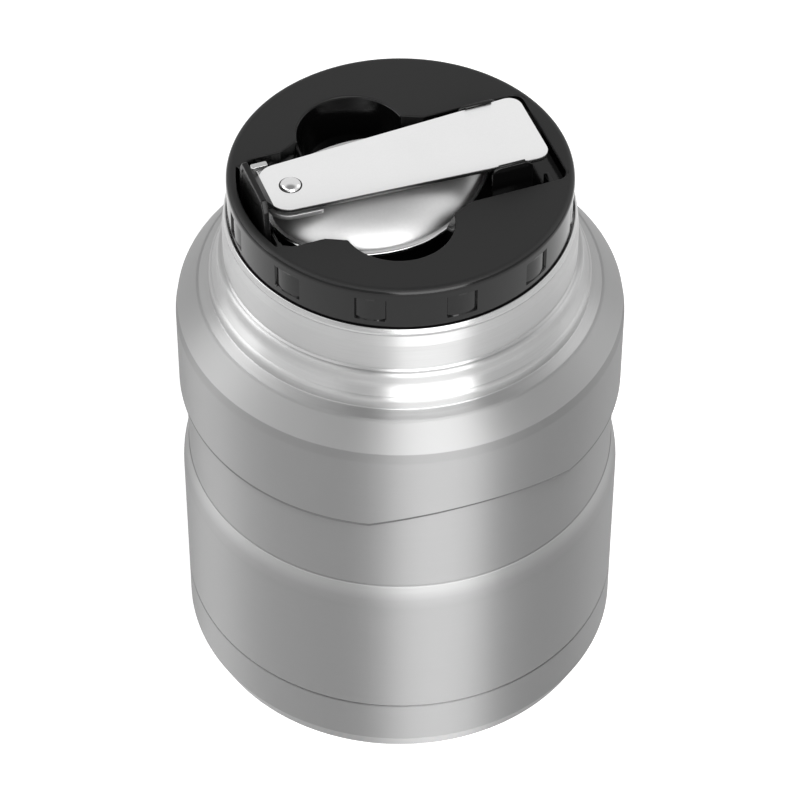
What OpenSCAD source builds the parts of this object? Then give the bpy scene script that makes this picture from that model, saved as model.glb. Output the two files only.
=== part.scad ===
// Insulated food jar: a double-walled steel vessel, a quick-thread stopper,
// and a folding spoon that is stowed on top of the stopper.
// The origin is the middle of the flat foot, +Z is up, the front faces -Y,
// and the stowed spoon lies along X.

/* [Body] */
// Outer diameter of the jar
body_d = 93.6; // [90:0.2:98]
// Height of the mouth's rim above the foot
mouth_z = 117.2; // [114:0.2:124]
// Sheet thickness of both steel walls
sheet = 0.8; // [0.5:0.1:0.9]
// Height of the chamfer round the foot
foot_chamfer_h = 4.4; // [3:0.1:6]
// Width of the chamfer round the foot
foot_chamfer_w = 1.96; // [1:0.02:3]
// Width of the flat ring that the jar stands on
foot_ring_w = 7; // [5:0.5:10]
// Height of the seam between the shell and the base cap
seam_z = 15.4; // [14:0.2:20]
// Width of the seam's groove
seam_gap = 0.25; // [0.15:0.05:0.5]
// Height of the top of the lower body's rolled shoulder
waist_low_z = 52.4; // [50:0.2:58]
// Height of the collar's lower edge
waist_high_z = 72; // [68:0.2:75]
// How far the waist lies inside the body
waist_depth = 1.4; // [1.1:0.05:1.5]
// Height of the rolled shoulder below the waist
roll_h = 6.4; // [5:0.2:9]
// Height of the arch in the collar's edge over the front
arch_rise = 4.2; // [3:0.1:6]
// Half the width of the arch
arch_half_w = 22; // [18:0.5:26]
// Vacuum gap between the two walls at the waist
vacuum_gap = 2.4; // [2.2:0.1:4]

/* [Neck] */
// Inner diameter of the mouth
mouth_d = 68.2; // [67.4:0.2:70]
// Vacuum gap between the two walls in the neck
neck_gap = 0.8; // [0.5:0.1:1]
// Height above the foot where the collar's upright wall ends
collar_top_z = 91.1; // [90:0.1:91.8]
// Slope of the shoulder between collar and neck
shoulder_slope = 54; // [51:1:57]
// Width of the shoulder's slope, as its part of the way from the body to the ridge
step_in = 5; // [4.8:0.1:5.2]
// Width of the step at the top of the shoulder, as the rest of that way
step_w = 2.2; // [2:0.1:2.4]
// Slope of the step between the shoulder and the ridge
step_slope = 21; // [16:1:26]
// Height of the straight band under the rim's taper
band_h = 6.3; // [5:0.1:7]
// Height of the taper below the rim
rim_taper_h = 3.3; // [2:0.1:4]
// How far the upper bead stands out of the neck
bead_out = 1.2; // [0.8:0.1:1.4]
// How far the lower ridge stands out of the neck
ridge_out = 3.1; // [2.9:0.1:3.4]

/* [Stopper] */
// Outer diameter of the stopper's cap
cap_d = 70.4; // [70:0.2:71.4]
// Height of the cap's side
cap_h = 10; // [9.4:0.1:11]
// Gap between the cap and the rim when it is closed
cap_gap = 0.3; // [0.2:0.1:0.6]
// Wall thickness of the moulded pieces
mould_t = 1.6; // [1.4:0.1:1.8]
// Number of grip notches round the cap
notch_count = 12; // [8:1:16]
// Width of one grip notch
notch_w = 6.4; // [4:0.2:7]
// Height of the grip notches
notch_h = 5.4; // [4:0.2:6.8]
// Depth of the grip notches
notch_depth = 0.7; // [0.4:0.1:1]
// Height of the plug below the cap
plug_h = 21.5; // [20:0.5:23]
// Number of thread lugs
lug_count = 4; // [3:1:4]
// Rise of the stopper in one turn
thread_lead = 20; // [20:0.5:22]
// Angle that one thread lug covers
lug_angle = 56; // [40:2:60]
// How far the lugs stand out
lug_out = 1.2; // [1.1:0.1:1.2]
// Width of a lug at its root
lug_root = 2.2; // [1.8:0.1:2.2]
// Thickness of the gasket ring
gasket_h = 2.2; // [1.6:0.1:2.6]

/* [Spoon] */
// Distance from each end of the handle to the cap's edge
handle_inset = 6.2; // [5.9:0.1:7.2]
// Width of the handle at its hinge end
handle_hinge_w = 13.4; // [12:0.2:14]
// Width of the handle at its free end
handle_free_w = 18.9; // [17:0.1:19.4]
// Thickness of the handle's sheet
handle_t = 1; // [0.8:0.1:1.2]
// Distance from the hinge end to the rivet
pivot_inset = 5.6; // [5:0.1:7]
// Length of the bowl from the rivet to the tip
bowl_reach = 43.2; // [41:0.2:44]
// Width of the bowl
bowl_w = 34.2; // [32.4:0.2:34.6]
// Depth of the bowl
bowl_depth = 6.7; // [6:0.1:7]
// Thickness of the bowl's sheet
bowl_t = 1; // [0.8:0.1:1.1]
// Diameter of the rivet's shank
rivet_d = 2.4; // [2:0.1:3]
// Diameter of the rivet's head
rivet_head_d = 4.2; // [3.8:0.1:5]
// Thickness of the washer between the two sheets
washer_t = 0.35; // [0.3:0.05:0.5]

/* [Spoon seat] */
// Height of the handle's top above the cap
handle_proud = 3.7; // [3.4:0.1:4.2]
// Space beside the handle's free end in the channel
channel_side = 4.1; // [3.8:0.1:4.6]
// Depth of the channel at the handle's free end
channel_depth = 2.3; // [1.6:0.1:2.8]
// Radius of the thumb pockets
pocket_r = 10.8; // [9.5:0.1:11.4]
// Depth of the thumb pockets
pocket_depth = 8.2; // [7.6:0.1:8.3]
// Length of the side clips
clip_len = 8.7; // [6:0.1:10]
// Thickness of the side clips
clip_t = 0.75; // [0.7:0.05:1.2]
// How far the clips' lips reach over the handle
clip_bite = 0.55; // [0.3:0.05:0.7]
// Height of the latch above the cap
latch_h = 7.1; // [6.5:0.1:8]
// Width of the latch at its root
latch_w = 16; // [12:0.2:16.4]
// Thickness of the latch's blade
latch_t = 1.2; // [1:0.1:1.3]

/* [Hidden] */
$fn = 96;

// Colours
steel = "silver";
inner_steel = "lightgray";
black_plastic = [0.16, 0.16, 0.17];
polished = [0.86, 0.86, 0.88];
silicone = "dimgray";

// Small allowances that several pieces share
eps = 0.02;
edge_round = 0.35;
fit_gap = 0.1;
pivot_gap = 0.05;
flex_gap = 0.3;

// Radii of the body
body_r = body_d / 2;
waist_r = body_r - waist_depth;
foot_r = body_r - foot_chamfer_w;
roll_r = (roll_h * roll_h + waist_depth * waist_depth) / (2 * waist_depth);
vessel_r = waist_r - 2 * sheet - vacuum_gap;

// Radii of the neck
mouth_r = mouth_d / 2;
neck_r = mouth_r + neck_gap + 2 * sheet;
rim_r = neck_r - 0.4;
bead_r = neck_r + bead_out;
ridge_r = neck_r + ridge_out;

// Heights of the neck, from the rim down
rim_under_z = mouth_z - sheet;
band_top_z = mouth_z - rim_taper_h;
band_low_z = band_top_z - band_h;
bead_round = 1;
bead_low_z = band_low_z - 3.4;
ridge_round = 1.2;
collar_round = 3.5;
step_round = 1;
step_r = body_r - (body_r - ridge_r) * step_in / (step_in + step_w);
shoulder_run = body_r - collar_round + (collar_round - step_round) * sin(shoulder_slope) - step_r;
step_z = collar_top_z + (collar_round - step_round) * cos(shoulder_slope)
    + shoulder_run * tan(shoulder_slope);
step_top_z = step_z + step_round / cos(step_slope) + (step_r - ridge_r) * tan(step_slope);

// Bottom of the jar
foot_inner_r = foot_r - foot_ring_w;
foot_recess = 1.2;
joggle_in = sheet + fit_gap;
joggle_h = 4.4;
shell_low_z = seam_z - joggle_h;
plate_r = body_r - joggle_in - sheet;
plate_low_z = shell_low_z - sheet;
vent_r = 1;
getter_r = 4;
getter_h = 1.6;
inner_floor_z = shell_low_z + 5;
vessel_low_z = inner_floor_z + 8;
dish_round = 8;
foil_t = 0.2;
getter_tray_t = 0.5;

// Seat of the stopper inside the neck
ledge_r = mouth_r - 3.1;
ledge_z = mouth_z + cap_gap - plug_h + gasket_h - 0.2;
ledge_drop = 2.2;
vessel_shoulder_z = ledge_z - ledge_drop - 7.5;

// Thread between the stopper and the neck
lug_crest = lug_root - 0.8;
lug_gap = 0.3;
lug_step = lug_root + lug_gap;
lead_angle = atan2(thread_lead, 2 * PI * mouth_r);
neck_lug_z = mouth_z - 7;
plug_lug_z = neck_lug_z - lug_step;

// Stopper
cap_r = cap_d / 2;
cap_low_z = mouth_z + cap_gap;
cap_top_z = cap_low_z + cap_h;
plug_r = mouth_r - lug_out - lug_gap;
plug_low_z = cap_low_z - plug_h;
plug_foot_r = ledge_r - 0.8;
plug_foot_top_z = ledge_z + gasket_h;
end_plate_t = 1.4;
rim_wall = 2;
notch_low_z = cap_low_z + 2.1;
top_round = 0.7;

// Spoon, which lies on the X axis with its middle over the jar's axis
handle_len = cap_d - 2 * handle_inset;
hinge_end_x = -handle_len / 2;
free_end_x = handle_len / 2;
rivet_x = hinge_end_x + pivot_inset;
handle_top_z = cap_top_z + handle_proud;
handle_low_z = handle_top_z - handle_t;
tang_top_z = handle_low_z - washer_t;
tang_low_z = tang_top_z - bowl_t;
hinge_corner_r = 4.2;
free_corner_r = 2.8;
tang_grow = 0.4;
bowl_tip_x = rivet_x + bowl_reach;
bowl_root_x = hinge_end_x + 0.6;
bowl_mid_share = 0.475;
bowl_mid_x = bowl_root_x + bowl_mid_share * (bowl_tip_x - bowl_root_x);
bowl_rim_z = tang_top_z - bowl_depth;
bowl_low_z = bowl_rim_z - bowl_t;
bowl_room = 8.8;
rim_flange = 1.2;
dome_power = 0.7;
tang_reach = 10;
handle_flare = (handle_free_w - handle_hinge_w) / 2 / (handle_len - hinge_corner_r - free_corner_r);
stop_lug_y = handle_hinge_w / 2 + 0.8;
stop_lug_w = 1.3;
stop_lug_len = 3.4;

// Seat of the spoon in the cap
channel_half_w = handle_free_w / 2 + channel_side;
channel_end_x = free_end_x + 2.3;
channel_root_x = hinge_end_x - 0.9;
channel_corner_r = 2.2;
channel_root_corner_r = 3.1;
channel_floor_z = cap_top_z - channel_depth;
bowl_floor_z = tang_top_z - bowl_room;
bowl_clearance = 0.9;
flare_out = 2.3;
flare_long = 4.9;
pocket_x = bowl_mid_x;
pocket_y = channel_half_w + 1.7;
pocket_floor_z = cap_top_z - pocket_depth;
pocket_draft = 2.2;
clip_x = free_end_x - 4.3 - clip_len;
handle_at_clip = handle_hinge_w / 2
    + handle_flare * (clip_x + clip_len - hinge_end_x - hinge_corner_r);
clip_y = handle_at_clip + fit_gap;
clip_lip_low_z = handle_top_z + fit_gap;
clip_top_z = clip_lip_low_z + 0.45;
rib_t = 1.2;

// Latch at the hinge end
latch_x = hinge_end_x - 2;
latch_top_z = cap_top_z + latch_h;
latch_draft = 1.1;
latch_bevel_h = 2.2;
latch_corner = 0.9;
latch_top_w = latch_w - 2 * latch_draft;
latch_low_z = bowl_floor_z - 0.7;
latch_axis_z = latch_low_z + latch_t / 2;
hook_w = 10.6;
hook_low_z = handle_top_z + fit_gap;
hook_high_z = latch_top_z - 1;
hook_tip_x = hinge_end_x + 0.3;
slot_r = cap_r - rim_wall;
slot_half_y = channel_half_w - 1;

// --- Helpers -----------------------------------------------------------

// Points of an arc about c, from angle a0 to a1
function arc(c, r, a0, a1, n = 6) =
    [for (i = [0:n]) let (a = a0 + (a1 - a0) * i / n) c + r * [cos(a), sin(a)]];

// Unit normal to the right of the way from p to q
function side(p, q) = [(q - p)[1], -(q - p)[0]] / norm(q - p);

// A path moved sideways by t, with its corners kept sharp
function inset(path, t) = [for (i = [0:len(path) - 1])
    let (a = side(path[max(i - 1, 0)], path[max(i, 1)]),
        b = side(path[min(i, len(path) - 2)], path[min(i + 1, len(path) - 1)]))
    path[i] + t * (a + b) / (1 + a * b)];

function reversed(path) = [for (i = [len(path) - 1:-1:0]) path[i]];

// A sheet-metal shell of revolution: its outer line, with the sheet inside it
module spun(path, t) {
    rotate_extrude()
        polygon(concat(path, reversed(inset(path, t))));
}

// A plain ring or disc between two heights
module ring(r_out, r_in, z0, z1) {
    translate([0, 0, z0])
        difference() {
            cylinder(r = r_out, h = z1 - z0);
            if (r_in > 0)
                translate([0, 0, -1])
                    cylinder(r = r_in, h = z1 - z0 + 2);
        }
}

// One thread lug: a stretch of ridge on radius r, tilted to the thread's slope.
// Direction 1 points outwards and -1 inwards, and its root is sunk into the wall.
module lug(r, direction) {
    sink = sheet / 2;
    root = lug_root + (lug_root - lug_crest) * sink / lug_out;
    rotate([lead_angle, 0, 0])
        rotate([0, 0, -lug_angle / 2])
            rotate_extrude(angle = lug_angle)
                polygon([[r - direction * sink, -root / 2],
                    [r + direction * lug_out, -lug_crest / 2],
                    [r + direction * lug_out, lug_crest / 2],
                    [r - direction * sink, root / 2]]);
}

// The ring of lugs at height z
module lugs(r, z, direction) {
    for (i = [0:lug_count - 1])
        rotate([0, 0, i * 360 / lug_count])
            translate([0, 0, z])
                lug(r, direction);
}

// --- Body --------------------------------------------------------------

// Outer line of the jar from under the rim down to the seam
function neck_line() = concat(
    [[rim_r, rim_under_z], [neck_r, band_top_z], [neck_r, band_low_z]],
    arc([bead_r - bead_round, band_low_z - bead_round - edge_round], bead_round, 80, 0),
    [[bead_r, bead_low_z]],
    arc([ridge_r - ridge_round, bead_low_z - 2.5 * ridge_round], ridge_round, 60, 0),
    [[ridge_r, step_top_z]],
    arc([step_r, step_z], step_round, 90 - step_slope, 90 - shoulder_slope),
    arc([body_r - collar_round, collar_top_z], collar_round, 90 - shoulder_slope, 0));

function body_line() = concat(
    [[body_r, waist_high_z], [waist_r, waist_high_z]],
    arc([body_r - roll_r, waist_low_z - roll_h], roll_r, asin(roll_h / roll_r), 0, 8),
    [[body_r, seam_z], [body_r - joggle_in, seam_z], [body_r - joggle_in, shell_low_z]]);

// The front of the jar below the arch of the collar's edge, grown by g
module arch_zone(g) {
    arch_r = (arch_half_w * arch_half_w + arch_rise * arch_rise) / (2 * arch_rise);
    intersection() {
        translate([0, 0, waist_high_z + arch_rise - arch_r])
            rotate([90, 0, 0])
                cylinder(r = arch_r + g, h = body_r + 2);
        translate([-body_r, -body_r - 2, waist_high_z - eps])
            cube([2 * body_r, body_r, arch_rise + g + 1]);
    }
}

module outer_shell() {
    color(steel) {
        difference() {
            spun(concat(neck_line(), body_line()), sheet);
            difference() {
                arch_zone(0);
                cylinder(r = waist_r, h = mouth_z);
            }
        }
        difference() {
            intersection() {
                arch_zone(sheet);
                ring(body_r - sheet / 2, waist_r - sheet, waist_high_z - sheet,
                    waist_high_z + arch_rise + 2 * sheet);
            }
            difference() {
                arch_zone(0);
                cylinder(r = waist_r, h = mouth_z);
            }
        }
    }
}

module base_cap() {
    color(steel)
        spun([[body_r, seam_z - seam_gap - edge_round], [body_r, foot_chamfer_h], [foot_r, 0],
            [foot_inner_r, 0], [foot_inner_r - foot_recess, foot_recess], [0.5, foot_recess]],
            sheet);
    color(steel)
        ring(1, 0, foot_recess, foot_recess + sheet);
}

module outer_bottom() {
    color(inner_steel)
        difference() {
            union() {
                ring(plate_r, 0, shell_low_z, shell_low_z + sheet);
                ring(body_r - joggle_in, plate_r - sheet, plate_low_z, shell_low_z);
            }
            translate([0, 0, shell_low_z - 1])
                cylinder(r = vent_r, h = sheet + 2);
        }
}

module vent_seal() {
    color("dimgray") {
        ring(vent_r, 0, shell_low_z, shell_low_z + sheet);
        ring(2.5 * vent_r, 0, plate_low_z, shell_low_z);
    }
}

module getter_clip() {
    clip_r = getter_r + flex_gap;
    floor_z = shell_low_z + sheet;
    color(inner_steel)
        translate([plate_r / 2, 0, 0]) {
            ring(clip_r + getter_tray_t, 0, floor_z, floor_z + getter_tray_t);
            ring(clip_r + getter_tray_t, clip_r, floor_z, floor_z + getter_h);
        }
}

module getter_pellet() {
    color("slategray")
        translate([plate_r / 2, 0, 0])
            ring(getter_r, 0, shell_low_z + sheet + getter_tray_t, shell_low_z + sheet + getter_h);
}

module foil_wrap() {
    foil_r = vessel_r + sheet + fit_gap + foil_t;
    color("gainsboro")
        ring(foil_r, foil_r - foil_t, vessel_low_z, vessel_shoulder_z - sheet);
}

// --- Inner vessel ------------------------------------------------------

module inner_vessel() {
    color(inner_steel) {
        spun([[mouth_r + sheet, rim_under_z + eps], [mouth_r + sheet, ledge_z - sheet],
            [ledge_r + sheet, ledge_z - sheet], [ledge_r + sheet, ledge_z - ledge_drop],
            [vessel_r + sheet, vessel_shoulder_z], [vessel_r + sheet, vessel_low_z]], sheet);
        rotate_extrude()
            polygon([[rim_r, mouth_z - edge_round], [rim_r, rim_under_z], [mouth_r, rim_under_z],
                [mouth_r, mouth_z - edge_round], [mouth_r + edge_round, mouth_z],
                [rim_r - edge_round, mouth_z]]);
        lugs(mouth_r, neck_lug_z, -1);
    }
}

// The dished floor, welded into the foot of the inner vessel
module inner_bottom() {
    color(inner_steel)
        spun(concat([[vessel_r + sheet, vessel_low_z]],
            arc([vessel_r + sheet - dish_round, inner_floor_z - sheet + dish_round], dish_round, 0, -90),
            [[0.5, inner_floor_z - sheet]]), sheet);
    color(inner_steel)
        ring(1, 0, inner_floor_z - sheet, inner_floor_z);
}

// --- Stopper -----------------------------------------------------------

module stopper_gasket() {
    color(silicone)
        ring(plug_r, plug_foot_r + fit_gap, ledge_z, plug_foot_top_z);
}

module stopper_plug() {
    color(black_plastic) {
        ring(plug_r, plug_r - mould_t, plug_foot_top_z, cap_low_z);
        ring(plug_foot_r, plug_foot_r - mould_t, plug_low_z + end_plate_t, plug_foot_top_z + mould_t);
        ring(plug_r, plug_foot_r - mould_t, plug_foot_top_z, plug_foot_top_z + mould_t);
        lugs(plug_r, plug_lug_z, 1);
    }
}

module stopper_foam() {
    color("beige") {
        ring(plug_r - mould_t - fit_gap, 0, plug_foot_top_z + mould_t, cap_low_z - mould_t);
        ring(plug_foot_r - mould_t - fit_gap, 0, plug_low_z + end_plate_t, plug_foot_top_z + mould_t);
    }
}

module stopper_end_plate() {
    color(black_plastic)
        ring(plug_foot_r, 0, plug_low_z, plug_low_z + end_plate_t);
}

// Outline of the channel and its flared middle, grown by g
module channel_outline(g) {
    x0 = channel_root_x - g;
    x1 = channel_end_x + g;
    y = channel_half_w + g;
    q = channel_root_corner_r + g;
    r = channel_corner_r + g;
    polygon(concat(arc([x0 + q, y - q], q, 90, 180), arc([x0 + q, q - y], q, 180, 270),
        arc([x1 - r, r - y], r, -90, 0), arc([x1 - r, y - r], r, 0, 90)));
    flare_outline(g);
}

// The wider stretch of the channel that the bowl drops into
module flare_outline(g) {
    y = channel_half_w + g;
    a = pocket_x - pocket_r;
    b = pocket_x + pocket_r;
    polygon([[a - flare_long, -y], [a, -y - flare_out], [b, -y - flare_out], [b + flare_long, -y],
        [b + flare_long, y], [b, y + flare_out], [a, y + flare_out], [a - flare_long, y]]);
}

// The slot behind the latch and the gate that the latch stands in, grown by g
module latch_slot_outline(g) {
    intersection() {
        circle(r = slot_r + min(g, rim_wall / 2));
        translate([-cap_r, -slot_half_y - g])
            square([cap_r + latch_x + latch_t / 2, 2 * (slot_half_y + g)]);
    }
    translate([latch_x - latch_t / 2, -latch_w / 2 - flex_gap - g])
        square([channel_root_x - latch_x + latch_t, latch_w + 2 * (flex_gap + g)]);
}

// A thumb pocket, with drafted walls
module pocket(s, g) {
    translate([pocket_x, s * pocket_y, pocket_floor_z - g])
        rotate_extrude()
            polygon([[0, 0], [pocket_r - pocket_draft + g, 0], [pocket_r + g, pocket_depth + g],
                [pocket_r + g, pocket_depth + g + 1], [0, pocket_depth + g + 1]]);
}

// Space from the floor at floor_z up to above the cap, over the outline given as children
module well(floor_z, g) {
    translate([0, 0, floor_z - g])
        linear_extrude(cap_top_z + 1 - floor_z + g)
            children();
}

// All the space taken out of the cap from above; g turns it into the tub round it
module spoon_seat(g) {
    well(channel_floor_z, g)
        channel_outline(g);
    well(bowl_floor_z, g)
        intersection() {
            channel_outline(g);
            union() {
                translate([-cap_r, -cap_r])
                    square([cap_r + bowl_mid_x, 2 * cap_r]);
                polygon(bowl_outline(-bowl_clearance - g));
            }
        }
    well(latch_low_z - flex_gap, g)
        latch_slot_outline(g);
    for (s = [-1, 1])
        pocket(s, g);
}

// One side clip: a springy wall with a lip over the handle's edge
module clip(s) {
    wall_h = clip_top_z - channel_floor_z;
    mirror([0, s < 0 ? 1 : 0, 0]) {
        translate([clip_x, clip_y, channel_floor_z - eps])
            cube([clip_len, clip_t, wall_h + eps]);
        translate([clip_x, handle_at_clip - clip_bite, clip_lip_low_z])
            cube([clip_len, clip_bite + fit_gap + clip_t, clip_top_z - clip_lip_low_z]);
        translate([clip_x + clip_len - rib_t, clip_y + clip_t - eps, channel_floor_z - eps])
            cube([rib_t, rib_t, channel_depth]);
    }
}

module grip_notches() {
    for (i = [0:notch_count - 1])
        rotate([0, 0, i * 360 / notch_count - 90])
            translate([cap_r - notch_depth, -notch_w / 2, notch_low_z])
                cube([notch_depth + 1, notch_w, notch_h]);
}

module stopper_cap() {
    color(black_plastic) {
        difference() {
            union() {
                difference() {
                    rotate_extrude()
                        polygon(concat([[0, cap_low_z], [cap_r, cap_low_z]],
                            arc([cap_r - top_round, cap_top_z - top_round], top_round, 0, 90, 4),
                            [[0, cap_top_z]]));
                    ring(cap_r - rim_wall, 0, cap_low_z - 1, cap_top_z - mould_t);
                }
                ring(plug_r, plug_r - mould_t, cap_low_z, cap_top_z - mould_t);
                intersection() {
                    spoon_seat(mould_t);
                    ring(cap_r - rim_wall / 2, 0, cap_low_z, cap_top_z - eps);
                }
            }
            spoon_seat(0);
            grip_notches();
        }
        for (s = [-1, 1])
            clip(s);
    }
}

// The springy latch that hooks over the handle's hinge end and rocks on its round root
module spoon_latch() {
    x0 = latch_x - latch_t / 2;
    shoulder_z = latch_top_z - latch_bevel_h;
    shoulder_y = latch_top_w / 2 + latch_corner / 2;
    ridge_y = latch_top_w / 2 - latch_corner;
    color(black_plastic) {
        translate([x0, 0, 0])
            rotate([90, 0, 90])
                linear_extrude(latch_t)
                    polygon([[-latch_w / 2, latch_axis_z], [latch_w / 2, latch_axis_z],
                        [latch_w / 2, cap_top_z], [shoulder_y, shoulder_z], [ridge_y, latch_top_z],
                        [-ridge_y, latch_top_z], [-shoulder_y, shoulder_z], [-latch_w / 2, cap_top_z]]);
        translate([latch_x, latch_w / 2, latch_axis_z])
            rotate([90, 0, 0])
                cylinder(r = latch_t / 2, h = latch_w);
        translate([0, hook_w / 2, 0])
            rotate([90, 0, 0])
                linear_extrude(hook_w)
                    polygon([[x0 + latch_t - eps, hook_low_z], [hook_tip_x, hook_low_z],
                        [hook_tip_x, hook_low_z + latch_t / 2], [x0 + latch_t - eps, hook_high_z]]);
    }
}

// --- Spoon -------------------------------------------------------------

// Outline of the handle, grown by g
function handle_outline(g) =
    let (x0 = hinge_end_x - g, x1 = free_end_x + g, a = handle_hinge_w / 2 + g,
        b = handle_free_w / 2 + g, r = hinge_corner_r + g, q = free_corner_r + g,
        t = atan(handle_flare))
    concat(arc([x0 + r, a - r], r, 90 + t, 180), arc([x0 + r, r - a], r, 180, 270 - t),
        arc([x1 - q, q - b], q, -90 - t, 0), arc([x1 - q, b - q], q, 0, 90 + t));

module spoon_handle() {
    color(polished)
        difference() {
            translate([0, 0, handle_low_z])
                linear_extrude(handle_t)
                    polygon(handle_outline(0));
            translate([rivet_x, 0, handle_low_z - 1])
                cylinder(r = rivet_d / 2 + pivot_gap, h = handle_t + 2);
        }
}

// Share of the way from the bowl's widest place to its end at x, with the margin m taken off
function bowl_share(x, m) =
    min(abs(x - bowl_mid_x) / (x < bowl_mid_x ? bowl_mid_x - bowl_root_x - m
        : bowl_tip_x - bowl_mid_x - m), 1);

// Half width of the bowl at x, less the margin m: round at the root, pointed at the tip
function bowl_half_w(x, m) =
    (bowl_w / 2 - m) * pow(1 - pow(bowl_share(x, m), 2), x < bowl_mid_x ? 0.5 : 0.85);

// Height of the bowl's crown line at x above its rim: steep at the root, sloping to the tip
function bowl_crown(x, m) =
    bowl_depth * pow(1 - pow(bowl_share(x, m), x < bowl_mid_x ? 9 : 2.2), dome_power);

// Stations along the bowl, closer together at its ends; a is how near the ends they start
function bowl_xs(m, n, a) = [for (i = [0:n])
    bowl_root_x + m + (bowl_tip_x - bowl_root_x - 2 * m) * (1 - cos(a + (180 - 2 * a) * i / n)) / 2];

// Outline of the bowl, with the margin m taken off all round
function bowl_outline(m) =
    let (half = [for (x = bowl_xs(m, 36, 5)) [x, -bowl_half_w(x, m)]])
    concat(half, [for (p = reversed(half)) [p[0], -p[1]]]);

// A domed solid inside the bowl's outline less the margin m, from z0 up to a crown over z1
module bowl_dome(m, z0, z1) {
    cols = 12;
    xs = bowl_xs(m, 16, 14);
    loop = 2 * (cols + 1);
    across = [for (j = [0:cols]) let (s = 2 * j / cols - 1) s * (1.25 - 0.25 * s * s)];
    points = [for (x = xs) each concat(
        [for (s = across) [x, s * bowl_half_w(x, m), z1 + bowl_crown(x, m) * pow(1 - s * s, dome_power)]],
        [for (s = reversed(across)) [x, s * bowl_half_w(x, m), z0]])];
    last = len(points) - loop;
    polyhedron(points, concat(
        [for (i = [0:len(xs) - 2]) for (j = [0:loop - 1])
            let (a = i * loop + j, b = i * loop + (j + 1) % loop)
            each [[a, b, b + loop], [a, b + loop, a + loop]]],
        [for (j = [0:cols - 1]) let (u = loop - 1 - j)
            each [[j + 1, j, u], [j + 1, u, u - 1],
                [last + j, last + j + 1, last + u], [last + j + 1, last + u - 1, last + u]]]));
}

// The tang under the handle's hinge end, with the tab that stops the handle
module tang() {
    translate([0, 0, tang_low_z])
        linear_extrude(bowl_t)
            intersection() {
                polygon(handle_outline(tang_grow));
                translate([hinge_end_x - 1, -handle_free_w])
                    square([tang_reach + 1, 2 * handle_free_w]);
            }
    translate([hinge_end_x, 0, tang_low_z])
        cube([stop_lug_len, stop_lug_y + stop_lug_w, bowl_t]);
    translate([hinge_end_x, stop_lug_y, tang_low_z])
        cube([stop_lug_len, stop_lug_w, handle_top_z - tang_low_z - 0.2]);
}

module spoon_bowl() {
    color(polished)
        difference() {
            union() {
                translate([0, 0, bowl_low_z])
                    linear_extrude(bowl_t)
                        polygon(bowl_outline(0));
                bowl_dome(rim_flange, bowl_low_z + eps, bowl_rim_z);
                tang();
            }
            bowl_dome(rim_flange + bowl_t, bowl_low_z - 1, bowl_low_z);
            translate([rivet_x, 0, bowl_rim_z])
                cylinder(r = rivet_d / 2, h = 2 * bowl_depth);
            translate([rivet_x, 0, bowl_rim_z])
                cylinder(r = rivet_head_d / 2 + flex_gap, h = tang_low_z - bowl_rim_z);
        }
}

module spoon_rivet() {
    head_h = 0.7;
    steps = 5;
    color(polished)
        translate([rivet_x, 0, 0]) {
            ring(rivet_d / 2, 0, tang_low_z - eps, handle_top_z + pivot_gap + eps);
            translate([0, 0, handle_top_z + pivot_gap])
                rotate_extrude()
                    polygon(concat([[0, 0]], [for (i = [0:steps])
                        [rivet_head_d / 2 * cos(90 * i / steps), head_h * sin(90 * i / steps)]]));
            ring(rivet_head_d / 2, 0, tang_low_z - head_h, tang_low_z);
        }
}

module spoon_washer() {
    color("gainsboro")
        translate([rivet_x, 0, 0])
            ring(rivet_head_d / 2 + 0.6, rivet_d / 2 + pivot_gap, tang_top_z, handle_low_z - eps);
}

outer_shell();
base_cap();
outer_bottom();
vent_seal();
getter_clip();
getter_pellet();
foil_wrap();
inner_vessel();
inner_bottom();
stopper_gasket();
stopper_cap();
stopper_plug();
stopper_foam();
stopper_end_plate();
spoon_latch();
spoon_bowl();
spoon_rivet();
spoon_washer();
spoon_handle();
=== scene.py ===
# %% [markdown]
# # An insulated food jar with a folding spoon on its stopper
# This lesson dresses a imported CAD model. The solids give every size and every moving body, and here each
# visible piece is worked out again as a fine surface with softened edges and a real finish. It stays in
# the frame of the solids, so a new piece lies exactly where its solid lies.

import math

import bpy
import numpy as np
from mathutils import Matrix, Vector


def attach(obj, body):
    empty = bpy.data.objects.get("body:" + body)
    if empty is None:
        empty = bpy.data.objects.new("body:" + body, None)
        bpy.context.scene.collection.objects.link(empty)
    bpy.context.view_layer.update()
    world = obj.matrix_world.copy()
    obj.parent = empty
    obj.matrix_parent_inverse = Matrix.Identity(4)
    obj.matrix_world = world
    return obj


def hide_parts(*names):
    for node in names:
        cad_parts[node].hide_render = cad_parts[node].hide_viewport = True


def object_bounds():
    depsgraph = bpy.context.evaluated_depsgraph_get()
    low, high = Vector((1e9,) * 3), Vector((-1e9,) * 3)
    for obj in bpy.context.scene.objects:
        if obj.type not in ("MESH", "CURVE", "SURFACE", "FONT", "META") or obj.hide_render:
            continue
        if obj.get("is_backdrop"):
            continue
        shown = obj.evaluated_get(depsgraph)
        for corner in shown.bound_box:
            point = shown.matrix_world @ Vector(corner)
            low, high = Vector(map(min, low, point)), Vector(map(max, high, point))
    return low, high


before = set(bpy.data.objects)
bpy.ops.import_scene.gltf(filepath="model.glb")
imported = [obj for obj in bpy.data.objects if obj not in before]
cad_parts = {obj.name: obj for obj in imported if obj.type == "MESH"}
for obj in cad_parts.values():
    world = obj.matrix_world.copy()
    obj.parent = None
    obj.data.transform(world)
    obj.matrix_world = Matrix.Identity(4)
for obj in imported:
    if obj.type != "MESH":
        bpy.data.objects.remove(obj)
cad_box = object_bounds()

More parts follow.
